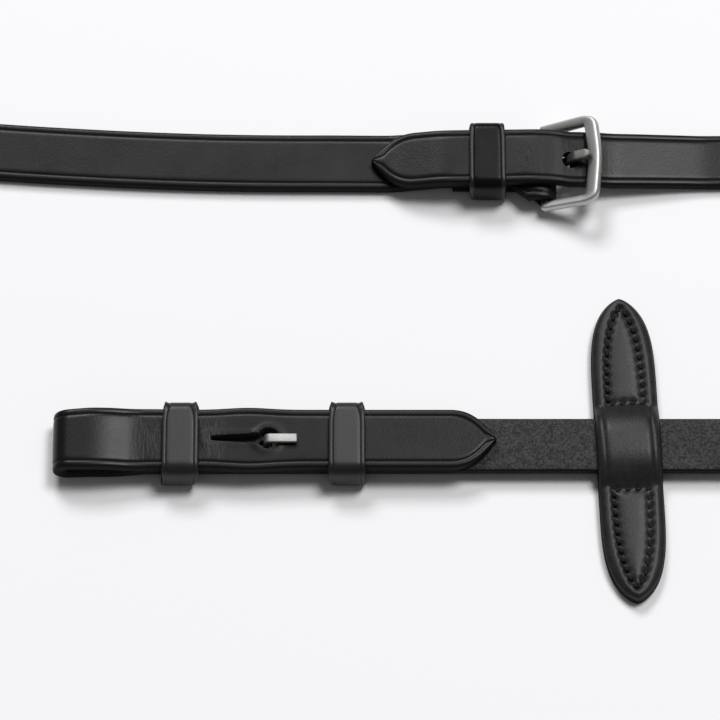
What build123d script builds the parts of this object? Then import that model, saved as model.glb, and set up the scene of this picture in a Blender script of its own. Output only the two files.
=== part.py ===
from build123d import *
import math
import os

os.makedirs("parts", exist_ok=True)

# A pair of bridle reins laid out on a flat surface, z = 0. Each rein is one strap, cut to
# 1.33 m from bit loop to buckle. The near rein carries the buckle point, the far rein
# carries the buckle. Lengths are millimetres, and the origin is under the middle of the whole.

# leather
strap_width = 16.0
strap_thickness = 3.0
strap_bevel = 0.7
layer_gap = 0.05
lying = strap_thickness / 2
stacked = lying + strap_thickness + layer_gap

# where the lines of strap lie
middle = Vector(29.05, -56.1)
bit_line = middle.Y - 27.8
buckle_line = middle.Y + 59.5
outer_line = middle.Y + 140.0
near_loop_x = middle.X - 83.8
far_loop_x = middle.X + 389.0
buckle_x = middle.X + 52.2
buckle_middle = buckle_line - 1.1

# folds of the length that is put away, and the sway that carries it off the layer below
fold_radius = 6.5
fold_bend = 6.3
ease = 25.0
fold_flat = 16.0
fold_down = 38.0
sway_from = 66.0
sway_to = 186.0
sway_radius = 180.0
sway_drop = 60.0
clear_early = (0.4, 0.58)
clear_late = (0.57, 0.75)
near_out_x = middle.X + 386.0
near_in_x = middle.X + 137.0
far_out_x = middle.X - 445.0
far_lean = math.tan(math.radians(4.75))
far_bend_x = middle.X - 55.6
far_bend = 1100.0
far_away_x = middle.X - 200.0
far_away_bend = 200.0
far_leave = 92.0
far_leave_bend = 160.0
far_clear = (0.62, 0.75)

# each strap is parted across, face to face, where it lies flat between its ends and its folds
near_part_x = middle.X + 101.0
far_part_x = middle.X - 4.0

# bit ends: distances are measured along the rein from the outside of the loop
runner_width = 9.8
runner_wall = 1.6
runner_inner = (17.4, 6.6)
runner_play = 0.27
lifted = 0.05 + runner_wall + runner_play + lying
billet = lifted + strap_thickness + layer_gap
eye_low = 1.6
eye_high = 9.4
eye_bend = 25.0
eye_upper_end = 13.8
eye_lower_end = 16.5
throat_at = 26.5
throat_bend = 20.0
billet_length = 121.3
billet_point = 13.0
point_shoulder = (5.6, 5.9)
stud_at = 58.6
trim_gap = 0.02
bit_runner_at = 34.5
point_runner_at = 80.2
stop_at = 157.2
lift_end = 233.8
lift_drop = 20.0
lift_bend = 60.0
hook_width = 2.6
slot_length = 16.2
slot_width = 2.4
stud_hole = 6.2
slit_length = 3.8
hook_thickness = 1.1
hook_clear = 0.3
hook_reach = 8.0
hook_drop = 0.15
neck = (-1.5, 0.3)
neck_shoulder = (0.6, 0.7)
stud_base = (10.0, 5.0, 0.8)
stud_base_low = 1.33
patch = (14.0, 12.0, 2.0)
patch_low = 0.55
patch_fit = 0.1
patch_rows = (9.2, 11.8)
patch_row_counts = (4, 3)
patch_thread = (0.3, 0.25)

# rein stop: a lozenge of two layers, sewn at both ends, with a bridge over the strap
stop_length = 92.0
stop_width = 18.0
stop_turn = 2.0
stop_base_top = 1.65
stop_wing_top = 4.4
stop_bridge_top = 7.7
stop_bridge_foot = 13.4
stop_channel = (17.2, 5.25, 0.8)
stop_swell = 0.28
# the lozenge's side: part of the half width, and how far short of the tip
lozenge_side = ((1.0, 19.0), (0.95, 12.0), (0.73, 6.2), (0.4, 2.7))
lozenge_inset_ratio = 1.4
stitch_pitch = 2.6
stitch_slant = 12.0
stitch = (1.9, 0.7, 0.35)
wing_row = (14.6, 41.0, 3.3)
wing_stitches = 10
wing_narrow_from = 30.0
wing_narrow = 0.035

# buckle: a tilted frame whose rear bar lies in the turned end of the far rein
bar_radius = 1.5
bar_height = 3.2
bar_fit = 0.05
buckle_tilt = 26.0
frame_thickness = 2.8
frame_reach = 14.3
front_half_width = 12.9
rear_half_width = 12.3
rail_width = 2.9
front_bar_width = 4.2
front_bow = 0.8
frame_rounding = 1.1
frame_bevel = 0.7
tongue_width = 2.8
tongue_ring = 2.9
tongue_thickness = 2.1
frame_corners = (0.9, 3.6, 2.2)
front_bow_radius = 20.0
tongue_play = 0.12
# the tongue's side: distance from the bar and height over the front bar it rests on
tongue_root = ((1.5, -0.6), (5.0, 0.0))
tongue_tip = ((0.8, 0.0), (1.3, 0.8), (0.2, 1.9))
tongue_crown = ((9.0, 0.0), (4.5, 0.1))
turn_radius = 2.35
turn_start = 2.6
turn_bend = 8.0
skived_radius = bar_height - 0.05
skived_from = 7.0
chape_end_x = middle.X + 26.0
chape_rows = (-6.4, 5.6)
chape_stitches = 5
chape_thread = 0.2
keeper_x = middle.X + 35.8
keeper_width = 9.8
keeper_inner = (17.2, 1.15, 9.05)
keeper_wall = 1.4
keeper_floor = 1.1
keeper_rounding = 1.5
chape_hole = (-0.8, 13.0, 4.4)
point_hole = (4.1, 11.0, 4.4)
# the layers at the buckle: distance from the bar, height of the middle, bend
chape_height = 4.2
chape_profile = [(-43, lying, 30), (-29, chape_height, 30), (-8, chape_height, 18)]
point_profile = [
    (44, lying, 60),
    (18, 4.1, 40),
    (3, 8.1, 12),
    (-3, 8.1, 18),
    (-9, 7.5, 18),
    (-29, 7.5, 30),
    (-43, 4.6, 30),
    (-49, 4.6, 0),
]

ends = {
    "near": {"loop_x": near_loop_x, "line": bit_line, "along": 1},
    "far": {"loop_x": far_loop_x, "line": outer_line, "along": -1},
}


def save(piece, name):
    piece.part.label = name
    export_step(piece.part, f"parts/{name}.step")


def plan_plane(end, distance, height):
    x = end["loop_x"] + end["along"] * distance
    return Plane(origin=(x, end["line"], height), x_dir=(end["along"], 0, 0), z_dir=(0, 0, 1))


def side_plane(end, distance):
    x = end["loop_x"] + end["along"] * distance
    return Plane(origin=(x, end["line"], 0), x_dir=(end["along"], 0, 0), z_dir=(0, -end["along"], 0))


def cross_plane(end, distance):
    x = end["loop_x"] + end["along"] * distance
    return Plane(origin=(x, end["line"], 0), x_dir=(0, end["along"], 0), z_dir=(end["along"], 0, 0))


# Every waypoint of a strap is its place in plan, the height of its middle and the bend there.
def bit_end_route(end):
    def at(distance):
        return Vector(end["loop_x"] + end["along"] * distance, end["line"])

    turn_radius = (eye_high - eye_low) / 2 - 0.1
    return [
        (at(billet_length), billet, 0),
        (at(throat_at), billet, throat_bend),
        (at(eye_upper_end), eye_high, eye_bend),
        (at(lying), eye_high, turn_radius),
        (at(lying), eye_low, turn_radius),
        (at(eye_lower_end), eye_low, eye_bend),
        (at(throat_at), lifted, throat_bend),
        (at(lift_end), lifted, lift_bend),
        (at(lift_end + lift_drop), lying, lift_bend),
    ]


def fold_over(place, back):
    high = lying + 2 * fold_radius
    return [
        (place, lying, fold_bend),
        (place, high, fold_bend),
        (place + back * fold_flat, high, ease),
        (place + back * fold_down, stacked, ease),
    ]


def sway(fold_x, heading, from_line, to_line, clear):
    """A run that leaves the strap below it sideways, then comes down beside it."""
    start = Vector(fold_x + heading * sway_from, from_line)
    end = Vector(fold_x + heading * sway_to, to_line)
    span = end - start
    return [
        (start, stacked, sway_radius),
        (start + span * clear[0], stacked, sway_drop),
        (start + span * clear[1], lying, sway_drop),
        (end, lying, sway_radius),
    ]


def over_buckle(profile):
    return [(Vector(buckle_x + away, buckle_line), height, bend) for away, height, bend in profile]


def make_strap(end, waypoints):
    """One strap along its waypoints, bevelled on the grain side, which is up at the billet."""
    points = [(place.X, place.Y, height) for place, height, bend in waypoints]
    bends = [bend for place, height, bend in waypoints[1:-1]]
    with BuildLine() as route:
        FilletPolyline(*points, radius=bends)
    start = Plane(origin=route.line @ 0, x_dir=(0, end["along"], 0), z_dir=route.line % 0)
    with BuildSketch(start) as section:
        grain_corners = Rectangle(strap_width, strap_thickness).vertices().group_by(Axis.Y)[0]
        chamfer(grain_corners, strap_bevel)
    sweep(section.sketch, path=route.line)


def trim_point(plane, depth):
    """Cuts the pointed end: the plane stands at the tip and the strap lies on its -X side."""
    half = strap_width / 2
    reach = half + 1
    with BuildSketch(plane) as waste:
        with BuildLine():
            Polyline((0, 0), (1, 0), (1, reach), (-billet_point, reach), (-billet_point, half))
            ThreePointArc((-billet_point, half), (-point_shoulder[0], point_shoulder[1]), (0, 0))
        make_face()
        mirror(about=Plane.XZ)
    extrude(waste.sketch, amount=depth, mode=Mode.SUBTRACT)


def cut_keyhole(end):
    """The billet's slot and round hole, and the slit in the strap below for the hook's neck."""
    with BuildSketch(plan_plane(end, stud_at, billet - lying - layer_gap / 2)) as keyhole:
        Circle(stud_hole / 2)
        with Locations((-slot_length / 2, 0)):
            SlotOverall(slot_length, slot_width)
    extrude(keyhole.sketch, amount=strap_thickness + 1, mode=Mode.SUBTRACT)
    with BuildSketch(plan_plane(end, stud_at + sum(neck) / 2, lifted - lying - 0.1)) as slit:
        SlotOverall(slit_length, hook_width + 2 * hook_clear)
    extrude(slit.sketch, amount=strap_thickness + 0.2, mode=Mode.SUBTRACT)


# near rein: bit end, put-away length in three folds, and the pointed end in the buckle
step_out = Vector(1, 0)
line_gap = (buckle_line - bit_line) / 3
lines = [bit_line + line_gap * step for step in range(4)]
near_route = bit_end_route(ends["near"])
near_route += fold_over(Vector(near_out_x, lines[0]), -step_out)
near_route += sway(near_out_x, -1, lines[0], lines[1], clear_late)
near_route += fold_over(Vector(near_in_x, lines[1]), step_out)
near_route += sway(near_in_x, 1, lines[1], lines[2], clear_early)
near_route += fold_over(Vector(near_out_x, lines[2]), -step_out)
near_route += sway(near_out_x, -1, lines[2], lines[3], clear_late)
near_route += over_buckle(point_profile)
with BuildPart() as near_rein:
    make_strap(ends["near"], near_route)
    trim_point(plan_plane(ends["near"], billet_length, billet - lying - trim_gap), 4)
    cut_keyhole(ends["near"])
    tip_x = buckle_x + point_profile[-1][0]
    tip = Plane(origin=(tip_x, buckle_line, 0), x_dir=(-1, 0, 0), z_dir=(0, 0, 1))
    trim_point(tip, 12)
    with BuildSketch(Plane.XY.offset(4)):
        with Locations((buckle_x + point_hole[0], buckle_middle)):
            SlotOverall(point_hole[1], point_hole[2])
    extrude(amount=9, mode=Mode.SUBTRACT)
    split(bisect_by=Plane.YZ.offset(near_part_x), keep=Keep.BOTH)
save(near_rein, "near_rein")

# far rein: bit end, one fold, and the end turned round the buckle's bar and sewn down
far_route = bit_end_route(ends["far"])
far_fold_y = buckle_line + (far_bend_x - far_out_x) * far_lean
lean_back = Vector(1, -far_lean).normalized()
fold_place = Vector(far_out_x, far_fold_y)
away = Vector(far_away_x, outer_line)
leave = fold_place + lean_back * far_leave
far_route += [
    (away, lying, far_away_bend),
    (away + (leave - away) * far_clear[0], lying, sway_drop),
    (away + (leave - away) * far_clear[1], stacked, sway_drop),
    (leave, stacked, far_leave_bend),
]
far_route += list(reversed(fold_over(fold_place, lean_back)))
far_route += [(Vector(far_bend_x, buckle_line), lying, far_bend)]
far_route += over_buckle(chape_profile)
far_route += [
    (Vector(buckle_x - turn_start, buckle_line), bar_height + turn_radius, turn_bend),
    (Vector(buckle_x + turn_radius, buckle_line), bar_height + turn_radius, turn_radius - 0.1),
    (Vector(buckle_x + turn_radius, buckle_line), bar_height - turn_radius, turn_radius - 0.1),
    (Vector(chape_end_x, buckle_line), bar_height - turn_radius, 0),
]
with BuildPart() as far_rein:
    make_strap(ends["far"], far_route)
    trim_point(plan_plane(ends["far"], billet_length, billet - lying - trim_gap), 4)
    cut_keyhole(ends["far"])
    # the turned end is skived thin round the bar and under the keeper's floor
    with BuildSketch(Plane.XZ.offset(-buckle_line)):
        with Locations((buckle_x, bar_height)):
            Rectangle(turn_radius + strap_thickness, 12, align=(Align.MIN, Align.CENTER))
            Circle(skived_radius, mode=Mode.SUBTRACT)
            Circle(bar_radius + bar_fit)
        with Locations((buckle_x, bar_height + skived_radius)):
            Rectangle(skived_from, strap_thickness, align=(Align.MAX, Align.MIN))
        with Locations((buckle_x, bar_height - skived_radius)):
            Rectangle(buckle_x - chape_end_x + 1, strap_thickness, align=(Align.MAX, Align.MAX))
        with Locations((keeper_x, keeper_inner[1] + bar_fit)):
            Rectangle(keeper_width + 0.4, strap_thickness, align=(Align.CENTER, Align.MAX))
    extrude(amount=strap_width, both=True, mode=Mode.SUBTRACT)
    with BuildSketch(Plane.XY.offset(-1)):
        with Locations((buckle_x + chape_hole[0], buckle_middle)):
            SlotOverall(chape_hole[1], chape_hole[2])
    extrude(amount=10, mode=Mode.SUBTRACT)
    split(bisect_by=Plane.YZ.offset(far_part_x), keep=Keep.BOTH)
save(far_rein, "far_rein")

# fixed keeper: a closed band round all three layers, held by the thread on both sides of it
with BuildPart() as buckle_keeper:
    inner_width, floor_top, roof_bottom = keeper_inner
    outer_low = floor_top - keeper_floor
    outer_high = roof_bottom + keeper_wall
    outer_width = inner_width + 2 * keeper_wall
    keeper_plane = Plane(origin=(keeper_x, buckle_line, 0), x_dir=(0, 1, 0), z_dir=(1, 0, 0))
    with BuildSketch(keeper_plane):
        with Locations((0, (outer_low + outer_high) / 2)):
            RectangleRounded(outer_width, outer_high - outer_low, keeper_rounding)
        with Locations((0, (floor_top + roof_bottom) / 2)):
            Rectangle(inner_width, roof_bottom - floor_top, mode=Mode.SUBTRACT)
    extrude(amount=keeper_width / 2, both=True)
save(buckle_keeper, "buckle_keeper")

# thread that closes the turned end on both sides of the keeper
with BuildPart() as chape_stitching:
    with BuildSketch(Plane.XY.offset(chape_height + lying)):
        for row in chape_rows:
            with Locations((keeper_x + row, buckle_line)):
                with GridLocations(1, stitch_pitch, 1, chape_stitches):
                    Rectangle(stitch[1], stitch[0])
    extrude(amount=chape_thread)
save(chape_stitching, "chape_stitching")

# buckle frame, drawn in its own tilted plane with the bar at the origin
frame_plane = Plane(
    origin=(buckle_x, buckle_middle, bar_height), x_dir=(1, 0, 0), z_dir=(0, 0, 1)
).rotated((0, -buckle_tilt, 0))
with BuildPart() as buckle_frame:
    front_out = frame_reach + front_bar_width / 2
    front_in = frame_reach - front_bar_width / 2
    rear_inner = rear_half_width - rail_width
    front_inner = front_half_width - rail_width
    rear_corner, outer_corner, inner_corner = frame_corners
    outline = [
        (-bar_radius, rear_inner, rear_corner),
        (-bar_radius, rear_half_width, rear_corner),
        (front_out, front_half_width, outer_corner),
        (front_out + front_bow, 0, front_bow_radius),
        (front_out, -front_half_width, outer_corner),
        (-bar_radius, -rear_half_width, rear_corner),
        (-bar_radius, -rear_inner, rear_corner),
        (front_in, -front_inner, inner_corner),
        (front_in + front_bow, 0, front_bow_radius),
        (front_in, front_inner, inner_corner),
    ]
    with BuildSketch(frame_plane):
        with BuildLine():
            places = [(along, across) for along, across, bend in outline]
            FilletPolyline(*places, radius=[bend for along, across, bend in outline], close=True)
        make_face()
    extrude(amount=frame_thickness / 2, both=True)
    faces = buckle_frame.faces().sort_by(Axis(frame_plane.origin, frame_plane.z_dir))
    chamfer(faces[0].edges(), frame_bevel)
    fillet(faces[-1].edges(), frame_rounding)
    with BuildSketch(Plane(frame_plane.origin, x_dir=(1, 0, 0), z_dir=(0, -1, 0))):
        Circle(bar_radius)
    extrude(amount=rear_half_width - 1, both=True)
save(buckle_frame, "buckle_frame")

# buckle tongue: a ring round the bar and a flat shank that rests on the front bar
with BuildPart() as buckle_tongue:
    side_view = Plane(frame_plane.origin, x_dir=frame_plane.x_dir, z_dir=-frame_plane.y_dir)
    rest = frame_thickness / 2 + bar_fit
    root = [(away, rest + height) for away, height in tongue_root]
    tip = [(frame_reach + away, rest + height) for away, height in tongue_tip]
    crown = [(away, rest + tongue_thickness + height) for away, height in tongue_crown]
    with BuildSketch(side_view):
        Circle(tongue_ring)
        with BuildLine():
            Polyline((0, tongue_ring), *root, *tip, *crown, (0, tongue_ring))
        make_face()
        Circle(bar_radius + tongue_play, mode=Mode.SUBTRACT)
    extrude(amount=tongue_width / 2, both=True)
save(buckle_tongue, "buckle_tongue")


def make_runner(end, distance, name):
    """A loop of folded strap that slides along the double strap."""
    inner_width, inner_height = runner_inner
    outer_height = inner_height + 2 * runner_wall
    with BuildPart() as runner:
        with BuildSketch(cross_plane(end, distance)):
            with Locations((0, 0.05 + outer_height / 2)):
                RectangleRounded(inner_width + 2 * runner_wall, outer_height, runner_wall)
                Rectangle(inner_width, inner_height, mode=Mode.SUBTRACT)
        extrude(amount=runner_width / 2, both=True)
    save(runner, name)


def make_stud(end, name):
    """Flat base under the strap, a neck through both layers, and a hook that points inwards."""
    base_high = lifted - lying - trim_gap
    half_base = stud_base[0] / 2
    hook_low = billet + lying + hook_clear
    hook_high = hook_low + hook_thickness
    neck_out, neck_in = neck
    with BuildPart() as stud:
        with BuildSketch(side_plane(end, stud_at)):
            with BuildLine():
                Polyline(
                    (-half_base, stud_base_low),
                    (half_base, stud_base_low),
                    (half_base, base_high),
                    (neck_in, base_high),
                    (neck_in, hook_low),
                    (hook_reach - 1.4, hook_low),
                    (hook_reach - 0.4, hook_low - hook_drop),
                    (hook_reach, hook_low + 2 * hook_drop),
                    (hook_reach - 1, hook_high),
                    (neck_out + neck_shoulder[0], hook_high),
                    (neck_out, hook_high - neck_shoulder[1]),
                    (neck_out, base_high),
                    (-half_base, base_high),
                    (-half_base, stud_base_low),
                )
            make_face()
        extrude(amount=hook_width / 2, both=True)
        with BuildSketch(plan_plane(end, stud_at, stud_base_low)):
            RectangleRounded(*stud_base)
        extrude(amount=base_high - stud_base_low)
    save(stud, name)


def make_patch(end, name):
    """The leather cover that holds the stud's base against the underside of the strap."""
    patch_high = lifted - lying - trim_gap
    length, width, rounding = stud_base
    with BuildPart() as cover:
        with BuildSketch(plan_plane(end, stud_at, patch_low)):
            RectangleRounded(*patch)
        extrude(amount=patch_high - patch_low)
        with BuildSketch(plan_plane(end, stud_at, stud_base_low - trim_gap)):
            Rectangle(length + patch_fit, width + patch_fit)
        extrude(amount=2, mode=Mode.SUBTRACT)
    save(cover, name)


def make_patch_stitching(end, name):
    with BuildPart() as thread:
        across, along = patch_rows
        side_count, end_count = patch_row_counts
        with BuildSketch(plan_plane(end, stud_at, patch_thread[0])):
            for row in range(side_count):
                with Locations(((row - (side_count - 1) / 2) * stitch_pitch, 0)):
                    with GridLocations(1, across, 1, 2):
                        Rectangle(stitch[0], stitch[1])
            for row in range(end_count):
                with Locations((0, (row - (end_count - 1) / 2) * stitch_pitch)):
                    with GridLocations(along, 1, 2, 1):
                        Rectangle(stitch[1], stitch[0])
        extrude(amount=patch_thread[1])
    save(thread, name)


def lozenge(plane, inset):
    """Half the stop's outline mirrored: straight sides that curve in to a point at each end."""
    half_width = stop_width / 2 - inset
    half_length = stop_length / 2 - inset * lozenge_inset_ratio
    turn, curve, shoulder, nose = [
        (half_width * part, half_length - short) for part, short in lozenge_side
    ]
    with BuildSketch(plane) as outline:
        with BuildLine():
            Line((0, 0), (half_width, 0))
            Line((half_width, 0), turn)
            ThreePointArc(turn, curve, shoulder)
            ThreePointArc(shoulder, nose, (0, half_length))
            Line((0, half_length), (0, 0))
        make_face()
        mirror(about=Plane.XZ)
        mirror(about=Plane.YZ)
    return outline.sketch


def stop_plane(end, height):
    return plan_plane(end, stop_at, height).rotated((0, 0, end["along"] * stop_turn))


def make_stop_base(end, name):
    with BuildPart() as base:
        extrude(lozenge(stop_plane(end, 0.05), 0), amount=stop_base_top - 0.05)
    save(base, name)


def make_stop_top(end, name):
    """Wings that lie on the base and a bridge with a channel for the strap."""
    channel_width, channel_top, channel_chamfer = stop_channel
    reach = stop_length / 2 + 2
    half_channel = channel_width / 2
    foot = Vector(stop_bridge_foot, stop_wing_top)
    crown = Vector(0, stop_bridge_top)
    swell = foot + (crown - foot) * stop_swell
    with BuildPart() as top:
        with BuildSketch(cross_plane(end, stop_at)):
            with BuildLine():
                Polyline(
                    (0, channel_top),
                    (half_channel - channel_chamfer, channel_top),
                    (half_channel, channel_top - channel_chamfer),
                    (half_channel, stop_base_top),
                    (reach, stop_base_top),
                    (reach, stop_wing_top),
                    foot,
                )
                TangentArc(foot, swell, tangent=(-1, 0))
                TangentArc(crown, swell, tangent=(1, 0))
                Line(crown, (0, channel_top))
            make_face()
            mirror(about=Plane.YZ)
        extrude(amount=stop_width, both=True)
        extrude(lozenge(stop_plane(end, 0), 0), amount=12, mode=Mode.INTERSECT)
    save(top, name)


def make_stop_stitching(end, name):
    """A pointed row of slanted stitches on each wing."""
    row_start, row_point, inset = wing_row
    column = stop_width / 2 - inset
    with BuildPart() as thread:
        with BuildSketch(stop_plane(end, stop_wing_top)) as row:
            for wing in (-1, 1):
                for place in range(wing_stitches):
                    along = row_start + stitch_pitch * place
                    narrow = 1 - max(0, along - wing_narrow_from) * wing_narrow
                    for side in (-1, 1):
                        with Locations(Location((side * column * narrow, wing * along), stitch_slant)):
                            Rectangle(stitch[1], stitch[0])
                for side in (-1, 1):
                    with Locations(Location((side * stitch_pitch / 2, wing * row_start), stitch_slant)):
                        Rectangle(stitch[0], stitch[1])
                with Locations((0, wing * row_point)):
                    Rectangle(stitch[0], stitch[1])
        extrude(row.sketch, amount=stitch[2])
    save(thread, name)


for side, end in ends.items():
    make_runner(end, bit_runner_at, f"{side}_bit_runner")
    make_runner(end, point_runner_at, f"{side}_point_runner")
    make_stud(end, f"{side}_hook_stud")
    make_patch(end, f"{side}_stud_patch")
    make_patch_stitching(end, f"{side}_patch_stitching")
    make_stop_base(end, f"{side}_stop_base")
    make_stop_top(end, f"{side}_stop_top")
    make_stop_stitching(end, f"{side}_stop_stitching")
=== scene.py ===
import math

import bmesh
import bpy
import numpy as np
from mathutils import Matrix, Vector


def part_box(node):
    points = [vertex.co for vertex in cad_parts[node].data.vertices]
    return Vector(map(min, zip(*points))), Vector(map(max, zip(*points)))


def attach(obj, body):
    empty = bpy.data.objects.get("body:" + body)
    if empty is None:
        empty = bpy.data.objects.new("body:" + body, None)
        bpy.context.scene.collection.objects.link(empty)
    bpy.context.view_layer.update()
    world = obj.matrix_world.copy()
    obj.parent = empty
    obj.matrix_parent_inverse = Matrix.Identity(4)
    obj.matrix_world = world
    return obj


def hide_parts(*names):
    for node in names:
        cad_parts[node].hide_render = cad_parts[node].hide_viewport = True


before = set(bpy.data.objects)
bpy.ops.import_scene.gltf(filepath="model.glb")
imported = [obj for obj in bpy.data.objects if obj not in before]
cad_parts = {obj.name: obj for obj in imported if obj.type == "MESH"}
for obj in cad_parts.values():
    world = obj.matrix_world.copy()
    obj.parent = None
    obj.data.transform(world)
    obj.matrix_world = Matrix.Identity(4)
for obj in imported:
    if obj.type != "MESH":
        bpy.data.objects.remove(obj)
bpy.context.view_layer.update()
mm = 0.001  # places and shapes are worked out in millimetres
viewMiddle = (29.05, -56.1)  # the middle of the part that lies in view


def boxOf(node):
    low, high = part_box(node)
    return np.array(low) / mm, np.array(high) / mm


def middleOf(node):
    low, high = boxOf(node)
    return (low + high) / 2


def unit(vector):
    return vector / np.linalg.norm(vector)


def smoothStep(start, end, value):
    part = np.clip((np.asarray(value, float) - start) / (end - start), 0, 1)
    return part * part * (3 - 2 * part)


def hump(value, centre, reach):
    return np.exp(-(((np.asarray(value, float) - centre) / reach) ** 2))


def fullTurn(count):
    return np.linspace(0, 2 * math.pi, count + 1)[:-1]


def distanceAlong(line):
    return np.concatenate([[0], np.cumsum(np.linalg.norm(np.diff(line, axis=0), axis=1))])


def directionAlong(line):
    along = np.gradient(line, axis=0)
    return along / np.linalg.norm(along, axis=1)[:, None]


def pointsAt(places, run, line):
    # the points of a line at the given distances along it
    return np.stack([np.interp(places, run, line[:, axis]) for axis in range(line.shape[1])], -1)


def outwardFrom(outline):
    # directions square to a closed outline
    ahead = np.roll(outline, -1, axis=0) - np.roll(outline, 1, axis=0)
    outward = np.stack([ahead[:, 1], -ahead[:, 0]], 1)
    return outward / np.linalg.norm(outward, axis=1)[:, None]


def gridFaces(rows, columns, roundRows):
    faces = []
    for row in range(rows if roundRows else rows - 1):
        nextRow = (row + 1) % rows
        for column in range(columns):
            nextColumn = (column + 1) % columns
            faces.append((row * columns + column, row * columns + nextColumn,
                          nextRow * columns + nextColumn, nextRow * columns + column))
    return faces


def shadeSmooth(mesh, sharpAngle=None):
    # the sharp angle is in degrees; without it, edges that are already sharp stay so
    mesh.polygons.foreach_set("use_smooth", [True] * len(mesh.polygons))
    if sharpAngle is not None:
        mesh.set_sharp_from_angle(angle=math.radians(sharpAngle))


def makePiece(name, points, faces, finishes, faceFinish=None, sharpAngle=38):
    mesh = bpy.data.meshes.new(name)
    mesh.from_pydata((np.asarray(points, float) * mm).tolist(), [], faces)
    for finish in finishes:
        mesh.materials.append(finish)
    if faceFinish is not None:
        mesh.polygons.foreach_set("material_index", faceFinish)
    work = bmesh.new()
    work.from_mesh(mesh)
    bmesh.ops.recalc_face_normals(work, faces=work.faces)
    work.to_mesh(mesh)
    work.free()
    shadeSmooth(mesh, sharpAngle)
    piece = bpy.data.objects.new(name, mesh)
    bpy.context.scene.collection.objects.link(piece)
    return piece


def loftRings(name, rings, finishes, columnFinish=None, roundRows=False, sharpAngle=38):
    # a skin over rings of points, capped unless its rows close in a ring themselves
    rings = np.asarray(rings, float)
    rows, columns = rings.shape[:2]
    faces = gridFaces(rows, columns, roundRows)
    faceFinish = None
    if columnFinish is not None:
        faceFinish = [columnFinish[face[0] % columns] for face in faces]
    if not roundRows:
        faces += [tuple(range(columns))[::-1], tuple(range((rows - 1) * columns, rows * columns))]
        if faceFinish:
            faceFinish += [columnFinish[0], columnFinish[0]]
    return makePiece(name, rings.reshape(-1, 3), faces, finishes, faceFinish, sharpAngle)


def applyModifiers(piece):
    shown = bpy.context.evaluated_depsgraph_get()
    mesh = bpy.data.meshes.new_from_object(piece.evaluated_get(shown))
    piece.modifiers.clear()
    piece.data = mesh
    return piece


def cutAway(piece, cutter):
    cut = piece.modifiers.new("cut", "BOOLEAN")
    cut.operation = "DIFFERENCE"
    cut.solver = "EXACT"
    cut.object = cutter
    applyModifiers(piece)
    bpy.data.objects.remove(cutter)


def joinPieces(name, parts):
    work = bmesh.new()
    finishes = parts[0].data.materials
    for part in parts:
        work.from_mesh(part.data)
    mesh = bpy.data.meshes.new(name)
    work.to_mesh(mesh)
    work.free()
    for finish in finishes:
        mesh.materials.append(finish)
    shadeSmooth(mesh)
    for part in parts:
        bpy.data.objects.remove(part)
    whole = bpy.data.objects.new(name, mesh)
    bpy.context.scene.collection.objects.link(whole)
    return whole


class Wire:
    # one output of a node, with the arithmetic that adds Math nodes
    def __init__(self, finish, socket):
        self.finish = finish
        self.socket = socket

    def math(self, operation, first, second):
        return self.finish.add("ShaderNodeMath", {"operation": operation}, {0: first, 1: second})

    def __add__(self, other):
        return self.math("ADD", self, other)

    def __radd__(self, other):
        return self.math("ADD", other, self)

    def __sub__(self, other):
        return self.math("SUBTRACT", self, other)

    def __rsub__(self, other):
        return self.math("SUBTRACT", other, self)

    def __mul__(self, other):
        return self.math("MULTIPLY", self, other)

    def __rmul__(self, other):
        return self.math("MULTIPLY", other, self)

    def __abs__(self):
        return self.math("ABSOLUTE", self, 0.0)

    def least(self, other):
        return self.math("MINIMUM", self, other)

    def most(self, other):
        return self.math("MAXIMUM", self, other)


class Finish:
    # a material and its Principled shader; fixed values are named as its sockets are, with _ for a space
    def __init__(self, name, **fixed):
        self.material = bpy.data.materials.new(name)
        self.material.use_nodes = True
        self.tree = self.material.node_tree
        self.shader = self.tree.nodes["Principled BSDF"]
        for socket, value in fixed.items():
            self.shader.inputs[socket.replace("_", " ")].default_value = value

    def add(self, kind, settings=None, inputs=None, out=0):
        node = self.tree.nodes.new(kind)
        for setting, value in (settings or {}).items():
            if setting == "stops":
                ramp = node.color_ramp
                for stop, (place, grey) in enumerate(value):
                    point = ramp.elements[stop] if stop < 2 else ramp.elements.new(place)
                    point.position = place
                    point.color = (grey, grey, grey, 1)
            else:
                setattr(node, setting, value)
        for socket, value in (inputs or {}).items():
            if isinstance(value, Wire):
                self.tree.links.new(value.socket, node.inputs[socket])
            else:
                node.inputs[socket].default_value = value
        return Wire(self, node.outputs[out])

    def feed(self, socket, wire):
        self.tree.links.new(wire.socket, self.shader.inputs[socket])

    def place(self):
        return self.add("ShaderNodeTexCoord", out="Object")

    def noise(self, scale, detail, roughness, place=None):
        where = {"Vector": place or self.place(), "Scale": scale, "Detail": detail, "Roughness": roughness}
        return self.add("ShaderNodeTexNoise", {}, where)

    def zoneMask(self, zones):
        # 1 at the middle of each zone, falling to 0 at its reach each way
        place = self.place()
        run = self.add("ShaderNodeSeparateXYZ", {}, {0: place}, 0)
        side = self.add("ShaderNodeSeparateXYZ", {}, {0: place}, 1)
        amount = 0.0
        for x, y, reachX, reachY in zones:
            along = 1.0 - abs(run - x) * (1 / reachX)
            across = 1.0 - abs(side - y) * (1 / reachY)
            amount = along.least(across).most(0.0).most(amount)
        return amount

    def colour(self, amount, first, second):
        mixed = self.add("ShaderNodeMix", {"data_type": "RGBA"}, {0: amount, 6: (*first, 1), 7: (*second, 1)}, 2)
        self.feed("Base Color", mixed)

    def relief(self, strength, depth, height):
        bump = {"Strength": strength, "Distance": depth, "Height": height}
        self.feed("Normal", self.add("ShaderNodeBump", {}, bump))


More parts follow.
